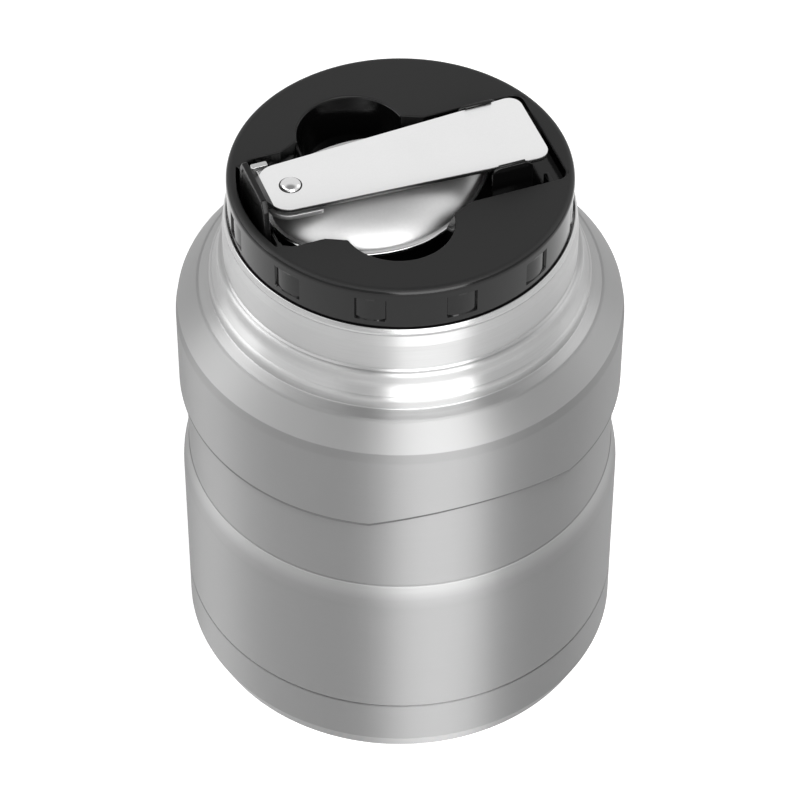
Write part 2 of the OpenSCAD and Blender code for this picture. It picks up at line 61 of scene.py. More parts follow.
# %% [markdown]
# ## Drawing lines
# A turned, pressed or moulded part has no perfectly sharp edge: each corner is a small arc that catches a
# line of light. So a profile is written as corners with a radius, and one helper swaps each corner for its
# arc. It also adds a point just beside each arc, which keeps the long flats flat when they are shaded.

# %% Corners into arcs
MM = 0.001
ON_AXIS = 1e-6


def arc(centre, radius, start, end, steps=8):
    """Points of a circle: centre + radius * (cos a, sin a), for a from start to end in degrees."""
    a = np.radians(np.linspace(start, end, steps + 1))[:, None]
    return np.array(centre) + radius * np.hstack([np.cos(a), np.sin(a)])


def unit(v):
    """Vectors along the last axis, each made 1 long."""
    return v / np.linalg.norm(v, axis=-1, keepdims=True)


def softened(corners, closed=False, steps=5, support=0.12):
    """A line through corners (u, v, radius). A corner P between unit directions d1 and d2, that enclose an
    angle g, becomes the arc of centre P + (d1 + d2) / |d1 + d2| * radius / sin(g / 2)."""
    place = np.array([c[:2] for c in corners], float)
    count = len(corners)
    line = []
    for i, corner in enumerate(corners):
        radius = corner[2] if len(corner) > 2 else 0
        if radius == 0 or (not closed and i in (0, count - 1)):
            line.append(place[i][None])
            continue
        d1, d2 = unit(place[i - 1] - place[i]), unit(place[(i + 1) % count] - place[i])
        half = math.acos(np.clip(d1 @ d2, -1, 1)) / 2
        centre = place[i] + unit(d1 + d2) * radius / math.sin(half)
        reach = radius / math.tan(half)
        v1, v2 = place[i] + d1 * reach - centre, place[i] + d2 * reach - centre
        t = np.linspace(0, 1, steps + 1)[:, None]
        turn = math.pi - 2 * half
        line.append(centre + (np.sin((1 - t) * turn) * v1 + np.sin(t * turn) * v2) / math.sin(turn))
    out = []
    for i, points in enumerate(line):
        out.append(points)
        if i + 1 < count or closed:
            a, b = points[-1], line[(i + 1) % count][0]
            length = np.linalg.norm(b - a)
            if length > 5 * support:
                out.append(np.array([a + (b - a) * support / length, b - (b - a) * support / length]))
    return np.vstack(out)


print("a softened triangle has", len(softened([(0, 0, 1), (9, 0, 1), (0, 9, 1)], closed=True)), "points")

# %% [markdown]
# ## From points to a closed mesh
# Every piece below is a grid of points: rows run one way, columns the other. One helper turns such a grid
# into vertices and faces, closing it around, along, with a point at a pole, or with a flat lid. The sign
# of the enclosed volume tells whether the faces point outward, and if not they are flipped.

# %% Closed grids


def shell(points, along=False, first=None, last=None, lids=False):
    """Faces between neighbours of a grid (rows, columns, 3): corner (i, j), (i, j+1), (i+1, j+1), (i+1, j).
    first and last are pole points for the end rows, and lids closes the end rows with flat faces."""
    rows, columns = points.shape[:2]
    index = np.arange(rows * columns).reshape(rows, columns)
    low = index if along else index[:-1]
    high = np.roll(index, -1, axis=0) if along else index[1:]
    faces = np.stack([low, np.roll(low, -1, 1), np.roll(high, -1, 1), high], axis=-1).reshape(-1, 4).tolist()
    vertices = points.reshape(-1, 3)
    for pole, ring, order in ((first, index[0], 1), (last, index[-1], -1)):
        if pole is not None:
            tip = len(vertices)
            vertices = np.vstack([vertices, pole])
            fan = np.stack([np.full(columns, tip), np.roll(ring, -1), ring], axis=-1)
            faces += fan[:, ::order].tolist()
    if lids:
        faces += [index[0][::-1].tolist(), index[-1].tolist()]
    triangles = np.array([(f[0], f[k], f[k + 1]) for f in faces for k in range(1, len(f) - 1)])
    a, b, c = (vertices[triangles[:, k]] for k in range(3))
    if np.einsum("ij,ij->i", a, np.cross(b, c)).sum() < 0:
        faces = [f[::-1] for f in faces]
    return vertices, faces


# %% [markdown]
# ## Making a piece
# A piece may have several closed shells, such as a bowl and its tang. One helper joins them into an object in
# metres, shades it smooth up to an angle, hangs it on an empty for the body it rides on, hides the solids it
# stands for and gives it its finish. Each point also carries a mark that the finishes below can read.

# %% Pieces


def placed(name, data):
    """An object with that data, linked to the scene."""
    obj = bpy.data.objects.new(name, data)
    bpy.context.scene.collection.objects.link(obj)
    return obj


def piece(name, shells, body, nodes, finish, sharp=32, marks=None):
    """One object from its closed shells, smooth except where two faces meet at more than sharp degrees.
    marks gives each shell a number, or one per point, from 0 for the first look of the finish to 1 for
    its second."""
    vertices, faces, start, marked = [], [], 0, []
    for k, (points, polygons) in enumerate(shells):
        vertices.append(points)
        faces += [[i + start for i in f] for f in polygons]
        start += len(points)
        marked.append(np.zeros(len(points)) + (0 if marks is None else marks[k]))
    mesh = bpy.data.meshes.new(name)
    mesh.from_pydata((np.vstack(vertices) * MM).tolist(), [], faces)
    mesh.shade_smooth()
    mesh.set_sharp_from_angle(angle=math.radians(sharp))
    mesh.materials.append(finish)
    # the mark is a real gloss on the stopper's cap, painted highlights on the shell and bowl, and painted
    # shade on the handle and rivet
    mesh.attributes.new("gloss_and_painted_light", "FLOAT", "POINT").data.foreach_set("value", np.hstack(marked))
    obj = placed(name, mesh)
    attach(obj, body)
    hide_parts(*nodes)
    low, high = np.vstack(vertices).min(0), np.vstack(vertices).max(0)
    print(f"{name}: {len(mesh.vertices)} points, {np.round(low, 1)} to {np.round(high, 1)} mm")
    return obj


# %% [markdown]
# ## Turned and flat parts
# Most parts of a jar are turned or spun, so their shape is a profile carried round an axis. Clips, latch
# and handle are flat, so their shape is an outline with a thickness and rounded edges.

# %% Turned and flat parts


def turned(profile, columns=240, angles=None, centre=(0, 0), lift=None):
    """A profile of (radius, height) carried round a vertical axis: x = r cos a, y = r sin a, z = height.
    A profile that starts or ends on the axis is closed with a pole, any other runs back to its start."""
    if angles is None:
        angles = np.linspace(0, 2 * np.pi, columns, endpoint=False)
    first = last = None
    if profile[0, 0] < ON_AXIS:
        first, profile = np.array([*centre, profile[0, 1]]), profile[1:]
    if profile[-1, 0] < ON_AXIS:
        last, profile = np.array([*centre, profile[-1, 1]]), profile[:-1]
    r, z = profile[:, :1], profile[:, 1:]
    x, y = r * np.cos(angles), r * np.sin(angles)
    z = z + 0 * x
    if lift is not None:
        z = z + lift(x, y, z)
    points = np.stack([x + centre[0], y + centre[1], z], axis=-1)
    return shell(points, along=first is None and last is None, first=first, last=last)


def slab(outline, low, high, edge, place, dish=0, border=1.0):
    """A flat part: a closed outline (u, v) between two heights w, its edges rounded by a quarter circle.
    place puts (u, v, w) into the frame. dish presses the lower face in by that depth inside a border."""
    ahead, back = np.roll(outline, -1, 0) - outline, outline - np.roll(outline, 1, 0)
    along = unit(ahead) + unit(back)
    inward = unit(np.stack([-along[:, 1], along[:, 0]], 1))
    u, v = outline.T
    if (u * np.roll(v, -1) - v * np.roll(u, -1)).sum() < 0:
        inward = -inward
    a = np.radians(np.linspace(0, 90, 5))
    rings = [(edge * (1 - math.sin(k)), low + edge * (1 - math.cos(k))) for k in a]
    if dish:
        rings = [(border + dish, low + dish), (border, low + 0.02), (border - 0.1, low)] + rings
    rings += [(edge * (1 - math.cos(k)), high - edge * (1 - math.sin(k))) for k in a]
    rows = [np.column_stack([outline + inward * inset, np.full(len(outline), w)]) for inset, w in rings]
    points = np.stack([place(*row.T) for row in rows])
    return shell(points, lids=True)


def row_marks(rows, columns, first=0, last=0):
    """Marks for a grid whose rows have one mark each, and for its pole points."""
    return np.hstack([np.repeat(rows, columns), [first], [last]])


def upright(u, v, w):
    """Outline in plan, height up."""
    return np.stack([u, v, w], -1)


print("a thimble has", len(turned(np.array([(0, 9), (5, 9), (5, 0), (4, 0), (4, 8), (0, 8)]))[1]), "faces")

# %% [markdown]
# ## Shared effects
# What varies over a surface comes from two shared groups: one draws the fine lines that a belt leaves
# round turned steel, the other the fine grain that a mould leaves in plastic. Both read object
# coordinates, so they stay put when a piece moves.

# %% Shared groups
SLOW = 60.0


def add(tree, kind, inputs=None, **settings):
    """A node with its settings and the sockets that are given as numbers or as links."""
    node = tree.nodes.new(kind)
    for name, value in settings.items():
        setattr(node, name, value)
    for name, value in (inputs or {}).items():
        if isinstance(value, bpy.types.NodeSocket):
            tree.links.new(value, node.inputs[name])
        else:
            node.inputs[name].default_value = value
    return node


def effect_group(name, label, value):
    """A node group with one number as its input, and a height and a shade as its outputs."""
    tree = bpy.data.node_groups.new(name, "ShaderNodeTree")
    given = tree.interface.new_socket(label, in_out="INPUT", socket_type="NodeSocketFloat")
    given.default_value = value
    for output in ("Height", "Shade"):
        tree.interface.new_socket(output, in_out="OUTPUT", socket_type="NodeSocketFloat")
    return tree, tree.nodes.new("NodeGroupInput").outputs[label], tree.nodes.new("NodeGroupOutput").inputs


def belt_lines_group():
    """Noise that is stretched round the upright axis: slow in x and y, quick in z."""
    tree, lines_per_metre, result = effect_group("belt_lines", "Lines per metre", 3500.0)
    spot = add(tree, "ShaderNodeTexCoord").outputs["Object"]
    stretch = add(tree, "ShaderNodeCombineXYZ", {"X": SLOW, "Y": SLOW, "Z": lines_per_metre})
    spread = add(tree, "ShaderNodeVectorMath", {0: spot, 1: stretch.outputs[0]}, operation="MULTIPLY")
    lines = add(tree, "ShaderNodeTexNoise",
                {"Vector": spread.outputs[0], "Scale": 1.0, "Detail": 3.0, "Roughness": 0.6}).outputs["Fac"]
    shade = add(tree, "ShaderNodeMapRange", {"Value": lines, "From Min": 0.3, "From Max": 0.7})
    tree.links.new(lines, result["Height"])
    tree.links.new(shade.outputs[0], result["Shade"])
    return tree


def mould_grain_group():
    """Fine even noise, with a slow change of shade added."""
    tree, grains_per_metre, result = effect_group("mould_grain", "Grains per metre", 3000.0)
    spot = add(tree, "ShaderNodeTexCoord").outputs["Object"]
    fine = add(tree, "ShaderNodeTexNoise",
               {"Vector": spot, "Scale": grains_per_metre, "Detail": 2.0, "Roughness": 0.6}).outputs["Fac"]
    broad = add(tree, "ShaderNodeTexNoise", {"Vector": spot, "Scale": SLOW, "Detail": 2.0}).outputs["Fac"]
    both = add(tree, "ShaderNodeMath", {0: fine, 1: broad}, operation="ADD")
    shade = add(tree, "ShaderNodeMapRange", {"Value": both.outputs[0], "From Min": 0.6, "From Max": 1.4})
    tree.links.new(fine, result["Height"])
    tree.links.new(shade.outputs[0], result["Shade"])
    return tree


BELT_LINES, MOULD_GRAIN = belt_lines_group(), mould_grain_group()
print("shared groups:", BELT_LINES.name, MOULD_GRAIN.name)

# %% [markdown]
# ## One maker for every finish
# Each finish is one Principled shader whose plain numbers sit on its own sockets. A shared group drives
# only its colour, roughness and bump. Brushed steel also needs a direction: the gloss is stretched upright,
# across the lines, which turns a lamp into the tall soft band that such jars show.

# %% Maker of finishes
NEAR_FULL = 8.0


def opaque(shade):
    """Red, green, blue and alpha of a colour. A single number is a grey."""
    return (*np.broadcast_to(shade, 3), 1)


def finish(name, shared, shades, rough, bump, density=None, aniso=0.0, second=None, **sockets):
    """A Principled shader whose colour and roughness follow a shared group's shade between two values, with
    the group's height as bump and density as its lines or grains per metre. aniso stretches the gloss
    across lines that run round the axis. second is the colour and the roughness where a piece is marked
    with 1. The roughness follows the mark's eighth power, so that a half mark changes the colour only."""
    material = bpy.data.materials.new(name)
    material.use_nodes = True
    tree = material.node_tree
    shader = tree.nodes["Principled BSDF"]
    for socket, value in sockets.items():
        shader.inputs[socket.replace("_", " ")].default_value = value
    effect = add(tree, "ShaderNodeGroup", node_tree=shared)
    if density:
        effect.inputs[0].default_value = density
    shade = effect.outputs["Shade"]
    colour = add(tree, "ShaderNodeMix", {0: shade, 6: opaque(shades[0]), 7: opaque(shades[1])},
                 data_type="RGBA").outputs[2]
    gloss = add(tree, "ShaderNodeMapRange",
                {"Value": shade, "To Min": rough[0], "To Max": rough[1]}).outputs[0]
    # where a piece is marked, the second colour is a real gloss on some pieces and painted light and shade on
    # others
    if second:
        mark = add(tree, "ShaderNodeAttribute", attribute_name="gloss_and_painted_light").outputs["Fac"]
        colour = add(tree, "ShaderNodeMix", {0: mark, 6: colour, 7: opaque(second[0])},
                     data_type="RGBA").outputs[2]
        late = add(tree, "ShaderNodeMath", {0: mark, 1: NEAR_FULL}, operation="POWER").outputs[0]
        gloss = add(tree, "ShaderNodeMix", {0: late, 2: gloss, 3: second[1]}).outputs[0]
    tree.links.new(colour, shader.inputs["Base Color"])
    tree.links.new(gloss, shader.inputs["Roughness"])
    relief = add(tree, "ShaderNodeBump",
                 {"Height": effect.outputs["Height"], "Strength": bump[0], "Distance": bump[1]})
    tree.links.new(relief.outputs[0], shader.inputs["Normal"])
    if aniso:
        shader.inputs["Anisotropic"].default_value = aniso
        tangent = add(tree, "ShaderNodeTangent", direction_type="RADIAL", axis="Z")
        tree.links.new(tangent.outputs[0], shader.inputs["Tangent"])
        shader.inputs["Anisotropic Rotation"].default_value = 0.25
    return material


# %% [markdown]
# ## The finishes
# The steels differ in how finely they are ground: brushed walls, a smoother neck, a polished rivet and a
# satin handle. The neck's steel is also painted lighter than the walls, as painted light. The dark one is a
# painted shadow along the collar's lower edge, under its overhang.

# %% Finishes
FINE_GRAIN, FAINT, HAIRLINE = 1500.0, (0.02, 1e-5), (0.03, 1e-5)
# brushed steel's second colour is a painted highlight, lighter where the roll and the collar's slope catch
# the light
BRUSHED = finish("brushed_steel", BELT_LINES, [0.27, 0.28], (0.6, 0.63), HAIRLINE, aniso=0.95,
                 second=(0.44, 0.6), Metallic=1.0)
# the neck is ground smoother, and its lighter colour is painted light
PAINTED_LIGHT_NECK = finish("polished_neck_painted_lighter", BELT_LINES, [0.38, 0.41], (0.34, 0.38), HAIRLINE, aniso=0.95, Metallic=1.0)
# painted shadow for the collar's lower edge, under its overhang
PAINTED_EDGE_SHADOW = finish("painted_edge_shadow", BELT_LINES, [0.12, 0.13], (0.6, 0.63), HAIRLINE, Metallic=1.0)
INNER = finish("inner_steel", BELT_LINES, [0.36, 0.42], (0.22, 0.28), (0.1, 2e-5), 2500.0, aniso=0.5,
               Metallic=1.0)
CHARCOAL = finish("charcoal_plastic", MOULD_GRAIN, [0.009, 0.011], (0.45, 0.52), (0.25, 4e-5),
                  second=(0.002, 0.12), Specular_IOR_Level=0.25)
GLOSS_BLACK = finish("gloss_black_plastic", MOULD_GRAIN, [0.004, 0.005], (0.26, 0.32), (0.02, 2e-5),
                     Specular_IOR_Level=0.2)
# the rivet's second colour is a painted shadow round its head
POLISHED = finish("polished_steel", MOULD_GRAIN, [0.66, 0.7], (0.1, 0.13), FAINT, FINE_GRAIN,
                  second=(0.03, 0.5), Metallic=1.0)
# the bowl's second colour is a painted highlight on its rim
BOWL = finish("bowl_steel", MOULD_GRAIN, [0.5, 0.54], (0.42, 0.46), FAINT, FINE_GRAIN,
              second=(0.7, 0.16), Metallic=1.0)
# the handle's second colour is a painted shade on its side walls
SATIN = finish("satin_steel", MOULD_GRAIN, [0.8, 0.84], (0.28, 0.34), (0.05, 1e-5), second=(0.14, 0.3),
               Metallic=1.0)
SILICONE = finish("silicone", MOULD_GRAIN, [0.3, 0.34], (0.5, 0.6), (0.05, 2e-5), Specular_IOR_Level=0.4)
FOAM = finish("foam", MOULD_GRAIN, [(0.62, 0.57, 0.44), (0.72, 0.67, 0.54)], (0.9, 1.0), (0.5, 2e-4), 900.0,
              Specular_IOR_Level=0.2)
FOIL = finish("foil", MOULD_GRAIN, [0.74, 0.84], (0.12, 0.3), (0.4, 1e-4), 250.0, Metallic=1.0)
SOLDER = finish("solder", MOULD_GRAIN, [0.3, 0.4], (0.3, 0.5), (0.3, 1e-4), 1200.0, Metallic=1.0)
GETTER = finish("getter", MOULD_GRAIN, [(0.12, 0.12, 0.13), (0.2, 0.2, 0.21)], (0.7, 0.9), (0.4, 1e-4),
                2500.0)
print("finishes:", len(bpy.data.materials))

# %% [markdown]
# ## The jar's steel shell
# On the real jar this is one drawn and spun tube: a straight body, a rolled shoulder, a shallow waist, a
# collar with a crisp lower edge, a sloped shoulder and a ridged neck. All of it is one line carried round
# the axis, closed by the same line a sheet's thickness further in. All numbers are millimetres.

# %% Profile of the shell
BODY_R, WAIST_R, SHEET = 46.8, 45.4, 0.8
SHELL_IN = BODY_R - SHEET
SEAM_Z, WAIST_LOW, WAIST_HIGH, PAINTED_SHADOW_TOP, LIP_Z = 15.4, 52.4, 72.0, 72.85, 116.4
ROLL_H, ROLL_DEPTH, ROLL_FOOT = 6.4, BODY_R - WAIST_R, 45.8
ROLL_R = (ROLL_H**2 + ROLL_DEPTH**2) / (2 * ROLL_DEPTH)
ROLL_MIDDLE, STEP_MIDDLE = (BODY_R - ROLL_R, WAIST_LOW - ROLL_H), (41.76, 97.47)
roll_top = math.degrees(math.asin(ROLL_H / ROLL_R))
outside = np.vstack([
    # the rim's taper, the straight band, the bead, the groove and the ridge
    softened([(36.1, LIP_Z), (36.48, 114.1, 0), (36.5, 113.9, 0.05), (36.5, 107.6, 0.12), (36.87, 107.24)]),
    arc((36.7, 106.25), 1, 80, 0)[1:],
    softened([(37.7, 106.1), (37.7, 104.2, 2.6), (39.0, 102.24)], steps=8)[1:],
    arc((38.4, 101.2), 1.2, 60, 0)[1:],
    softened([(39.6, 101.0), (39.6, 99.38, 0.25), (41.9, 98.49)], steps=3)[1:],
    # the step, the slope, the collar with its lower edge, the waist and a fine bead above the roll
    arc(STEP_MIDDLE, 1, 69, 38),
    softened([(42.7, 97.96), (46.4, 93.25, 0.5), (BODY_R, 90.9, 4), (BODY_R, PAINTED_SHADOW_TOP),
              (BODY_R, WAIST_HIGH, 0.4), (WAIST_R, WAIST_HIGH, 0.12), (WAIST_R, WAIST_LOW + 0.45, 0.1),
              (45.6, WAIST_LOW + 0.2, 0.1), (45.5, WAIST_LOW - 0.2, 0.1), (45.6, WAIST_LOW - 0.45)],
             steps=4)[1:],
    # the roll, the lower body and the tuck that goes inside the base cap
    arc(ROLL_MIDDLE, ROLL_R, roll_top - 2.2, 0, 16),
    softened([(BODY_R, ROLL_FOOT), (BODY_R, SEAM_Z, 0.3), (45.9, SEAM_Z, 0.05), (45.9, 11.0, 0.1),
              (45.1, 11.0, 0.1), (45.1, 16.4, 0.1), (SHELL_IN, 16.8, 0.1), (SHELL_IN, ROLL_FOOT)])[1:],
    # and back up, a sheet's thickness further in
    arc(ROLL_MIDDLE, ROLL_R - SHEET, 0, roll_top, 8),
    softened([(44.6, 52.6), (44.6, 72.6, 0.1), (SHELL_IN, 72.8, 0.1), (SHELL_IN, 90.8)])[1:],
    arc((43.3, 91.1), 2.7, 0, 36, 6),
    arc(STEP_MIDDLE, 0.2, 36, 69, 2),
    softened([(41.4, 97.75), (38.8, 98.7, 0.3), (38.8, 101.2, 0.4), (36.9, 103.9, 0.5), (36.9, 106.2, 0.5),
              (35.7, 107.0, 0.3), (35.7, 113.8), (35.3, LIP_Z)])[1:],
])
print("points in the shell's profile:", len(outside))

# %% [markdown]
# ## The arch over the front
# Only the collar's edge isn't round: at the front it rises as an arch. So each point near that edge is lifted
# by the arch's own circle, fading out over the straight walls above and below it, where a shift in height
# changes nothing. The faces take one of three finishes by their height: brushed walls, a smoother neck that
# is painted lighter, and a painted shadow round the collar's lower edge. Marks paint a highlight on the roll
# and the collar's slope.

# %% Shell
ARCH_HALF, ARCH_RISE, FADE_BELOW, FADE_ABOVE = 22.0, 4.2, 12, 14
ARCH_R = (ARCH_HALF**2 + ARCH_RISE**2) / (2 * ARCH_RISE)
NECK_FROM = 98.6


def arch_lift(x, y, z):
    """How far the collar's edge rises: sqrt(R^2 - x^2) above the arch's foot, on the front half only, and
    less with the distance from the edge, 12 mm below it and 14 mm above it."""
    rise = np.sqrt(np.maximum(ARCH_R**2 - x**2, 0)) - (ARCH_R - ARCH_RISE)
    rise = np.where((y < 0) & (np.abs(x) < ARCH_HALF), np.maximum(rise, 0), 0)
    below = np.clip((z - WAIST_HIGH + FADE_BELOW) / FADE_BELOW, 0, 1)
    above = np.clip((WAIST_HIGH + FADE_ABOVE - z) / FADE_ABOVE, 0, 1)
    near = np.hypot(x, y) > WAIST_R - SHEET - 0.1
    return rise * np.minimum(below, above) * near


kink = math.asin(ARCH_HALF / BODY_R)
shell_angles = np.sort(np.append(np.linspace(0, 2 * np.pi, 256, endpoint=False),
                                 [1.5 * np.pi - kink, 1.5 * np.pi + kink]))
# painted highlight: marks that lighten the steel on the roll and on the collar's slope
painted_highlight = np.interp(outside[:, 1], [46.5, 49, 51.2, 52.2, 52.8, 93.1, 93.3], [0, 0.25, 0.8, 0.9, 0, 0, 1])
jar_shell = piece("jar_shell", [turned(outside, angles=shell_angles, lift=arch_lift)], "jar",
                  ["outer_shell"], BRUSHED, sharp=20,
                  marks=[np.repeat(painted_highlight, len(shell_angles))])
strip_r, strip_z = ((outside + np.roll(outside, -1, axis=0)) / 2).T
# painted shadow: the faces round the collar's lower edge take the dark finish
painted_shadow_strip = (strip_r > WAIST_R) & (strip_z > WAIST_HIGH - 0.1) & (strip_z < PAINTED_SHADOW_TOP)
looks = np.where(strip_z > NECK_FROM, 1, np.where(painted_shadow_strip, 2, 0))
jar_shell.data.materials.append(PAINTED_LIGHT_NECK)
jar_shell.data.materials.append(PAINTED_EDGE_SHADOW)
jar_shell.data.polygons.foreach_set("material_index", np.repeat(looks, len(shell_angles)))

# %% [markdown]
# ## The base cap
# A pressed cup closes the jar below. Its wall stands flush under the shell's with a hairline seam between
# them, its edge is chamfered, and only a ring round the recess touches the table.

# %% Base cap
CUP_TOP = SEAM_Z - 0.27
base_line = softened([(0, 1.2), (36.64, 1.2, 0.5), (37.84, 0, 0.4), (44.84, 0, 0.35), (BODY_R, 4.4, 0.5),
                      (BODY_R, CUP_TOP, 0.3), (SHELL_IN, CUP_TOP, 0.1), (SHELL_IN, 4.6, 0.5),
                      (44.3, 0.8, 0.4), (38.2, 0.8, 0.4), (37.0, 2.0, 0.4), (0, 2.0)])
piece("jar_base", [turned(base_line)], "jar", ["base_cap"], BRUSHED, sharp=35)

# %% [markdown]
# ## The inner vessel
# The food sits in a second steel vessel. Its neck is narrower than its belly: a cone leads up to a ledge
# for the gasket, above it stand the lugs that the stopper turns under, and at the mouth the wall rolls
# over the outer shell as a lip. A lug is a rounded bar that follows part of a screw turn. The floor is a
# dished disc of its own, set in where the wall ends.

# %% Vessel and lugs
LUG_OUT, LUG_SUNK, LUG_ROOT, LUG_CREST = 1.2, 0.4, 2.2, 1.4
LUG_REACH, LUG_LEAD = math.radians(28), math.radians(5.33)


def lug_bars(radius, height, way):
    """Four bars on a wall of that radius, outward (way 1) or inward (way -1). Their section is a trapezoid
    that sinks into the wall, carried along an arc and tilted by the lead angle. From the middle of a bar,
    t = 0, to its ends, t = 1, its depth falls off as 1 - t^8 and its height as 1 - 0.35 t^8."""
    section = softened([(-LUG_SUNK, -LUG_ROOT / 2, 0.1), (LUG_OUT, -LUG_CREST / 2, 0.3),
                        (LUG_OUT, LUG_CREST / 2, 0.3), (-LUG_SUNK, LUG_ROOT / 2, 0.1)], closed=True, steps=3)
    t = np.linspace(-1, 1, 41)[:, None]
    depth = np.where(section[:, 0] > 0, section[:, 0] * (1 - t**8), section[:, 0])
    r, h = radius + way * depth, section[:, 1] * (1 - 0.35 * t**8)
    x, y = r * np.cos(LUG_REACH * t), r * np.sin(LUG_REACH * t)
    flat, steep = math.cos(LUG_LEAD), math.sin(LUG_LEAD)
    bar = np.stack([x, y * flat - h * steep, height + y * steep + h * flat], -1)
    quarters = [np.array([(c, s, 0), (-s, c, 0), (0, 0, 1)]) for c, s in ((1, 0), (0, 1), (-1, 0), (0, -1))]
    return [shell(bar @ turn, lids=True) for turn in quarters]


MOUTH_R, MOUTH_Z, LEDGE_R, LEDGE_Z, BELLY_R, BELLY_OUT, JOIN_Z = 34.1, 117.2, 31.0, 98.0, 41.4, 42.2, 24.0
vessel_line = softened([
    (36.1, LIP_Z, 0.1), (36.15, 117.0, 0.3), (35.75, 118.0, 0.25), (35.5, 118.0, 0.1),
    (35.45, MOUTH_Z, 0.05), (MOUTH_R, MOUTH_Z, 0.35), (MOUTH_R, LEDGE_Z, 0.2), (LEDGE_R, LEDGE_Z, 0.4),
    (LEDGE_R, 95.6, 1.0), (BELLY_R, 87.9, 3.0), (BELLY_R, JOIN_Z, 0.1), (BELLY_OUT, JOIN_Z, 0.1),
    (BELLY_OUT, 88.3, 3.4), (31.8, 96.2, 0.4), (31.8, 97.2, 0.2), (34.9, 97.2, 0.3), (34.9, LIP_Z, 0.1)],
    closed=True)
piece("inner_wall", [turned(vessel_line)] + lug_bars(MOUTH_R, 110.2, -1), "jar", ["inner_vessel"],
      INNER)
DISH_R = 8.0
floor_line = np.vstack([[(0, 16.0)], arc((33.4, JOIN_Z), DISH_R, -90, 0, 10),
                        [(BELLY_R, JOIN_Z), (BELLY_OUT, JOIN_Z)],
                        arc((34.2, 23.2), DISH_R, 0, -90, 10), [(0, 15.2)]])
piece("inner_floor", [turned(floor_line)], "jar", ["inner_bottom"], INNER)

# %% [markdown]
# ## The stopper's cap, in plan
# This is the busiest moulding: a rim with twelve grip notches, a flat top, and sunk into it one long seat
# for the spoon, with two thumb pockets and a slot for the latch. Seen from the middle of the bowl, each
# direction meets the seat's edge once, so the whole cap can be one polar surface. Each shape of the plan
# is a test for a point, and a helper finds where it ends in every direction.

# %% Plan of the seat
CAP_R, CAP_LOW, CAP_TOP = 35.3, 117.5, 127.9
SEAT_X = -5.505
CHANNEL_HALF, CHANNEL_X0, CHANNEL_X1, HINGE_ROUND, FREE_ROUND = 13.55, -29.9, 31.3, 3.1, 2.2
FLARE_OUT, FLARE_LONG, FLARE_END = 2.3, 4.9, 15.4
POCKET_R, POCKET_Y, POCKET_FLOOR, POCKET_DRAFT = 11.4, 13.9, 119.3, 2.2
CHANNEL_FLOOR, BOWL_FLOOR, SLOT_FLOOR = 125.2, 121.05, 120.05
SLOT_R, SLOT_HALF = 33.2, 12.55
BOWL_ROOT, BOWL_TIP, BOWL_HALF, BAY_GAP = -28.4, 19.8, 17.15, 0.9


def bowl_share(x, margin):
    """Distance from the bowl's widest place as a share of what its margin leaves of that side."""
    room = np.where(x < SEAT_X, SEAT_X - BOWL_ROOT - margin, BOWL_TIP - SEAT_X - margin)
    return np.clip(np.abs(x - SEAT_X) / room, 0, 1)


def bowl_half_width(x, margin):
    """Half the bowl's width: (1 - share^2)^0.5 towards the hinge and ^0.85 towards the tip."""
    return (BOWL_HALF - margin) * (1 - bowl_share(x, margin) ** 2) ** np.where(x < SEAT_X, 0.5, 0.85)


def in_channel(x, y):
    """A rectangle with rounded corners, wider by the flares beside the pockets."""
    mid, half = (CHANNEL_X0 + CHANNEL_X1) / 2, (CHANNEL_X1 - CHANNEL_X0) / 2
    r = np.where(x < mid, HINGE_ROUND, FREE_ROUND)
    dx, dy = np.abs(x - mid) - half + r, np.abs(y) - CHANNEL_HALF + r
    box = np.hypot(np.maximum(dx, 0), np.maximum(dy, 0)) + np.minimum(np.maximum(dx, dy), 0) <= r
    ramp = np.clip((FLARE_END - np.abs(x - SEAT_X)) / FLARE_LONG, 0, 1)
    return box | ((ramp > 0) & (np.abs(y) <= CHANNEL_HALF + FLARE_OUT * ramp))


def in_pocket(x, y):
    """A circle on each side of the bowl."""
    return np.hypot(x - SEAT_X, np.abs(y) - POCKET_Y) <= POCKET_R


def in_slot(x, y):
    """A strip that ends on a circle about the stopper's axis."""
    return (np.hypot(x, y) <= SLOT_R) & (np.abs(y) <= SLOT_HALF) & (x < CHANNEL_X0 + 1)


def in_bay(x, y):
    """The bowl with a gap round its tip, and all that lies towards the hinge."""
    half = bowl_half_width(x, -BAY_GAP)
    return in_channel(x, y) & ((np.abs(y) <= half) & (x < BOWL_TIP + BAY_GAP) | (x < SEAT_X))


def reach(inside, ux, uy, far=45.0, steps=900):
    """The last distance from the seat's middle at which a plan shape is met in each direction: a march in
    even steps, then halving of the step that leaves the shape."""
    t = np.linspace(0, far, steps + 1)[:, None]
    hit = inside(SEAT_X + t * ux, t * uy)
    low = np.where(hit.any(0), t[steps - np.argmax(hit[::-1], axis=0), 0], 0)
    high = low + far / steps
    for _ in range(30):
        mid = (low + high) / 2
        ok = inside(SEAT_X + mid * ux, mid * uy)
        low, high = np.where(ok, mid, low), np.where(ok, high, mid)
    return low


print("the seat is", round(CHANNEL_X1 + SLOT_R, 1), "mm long, the bowl", 2 * BOWL_HALF, "mm wide")

# %% [markdown]
# ## The cap's directions
# The columns of the surface point at the rim: an even fan, with extra ones across each notch. Every column
# gets its distances on the way out: where it enters and leaves a pocket, where the bowl's bay ends, and
# where the seat ends.

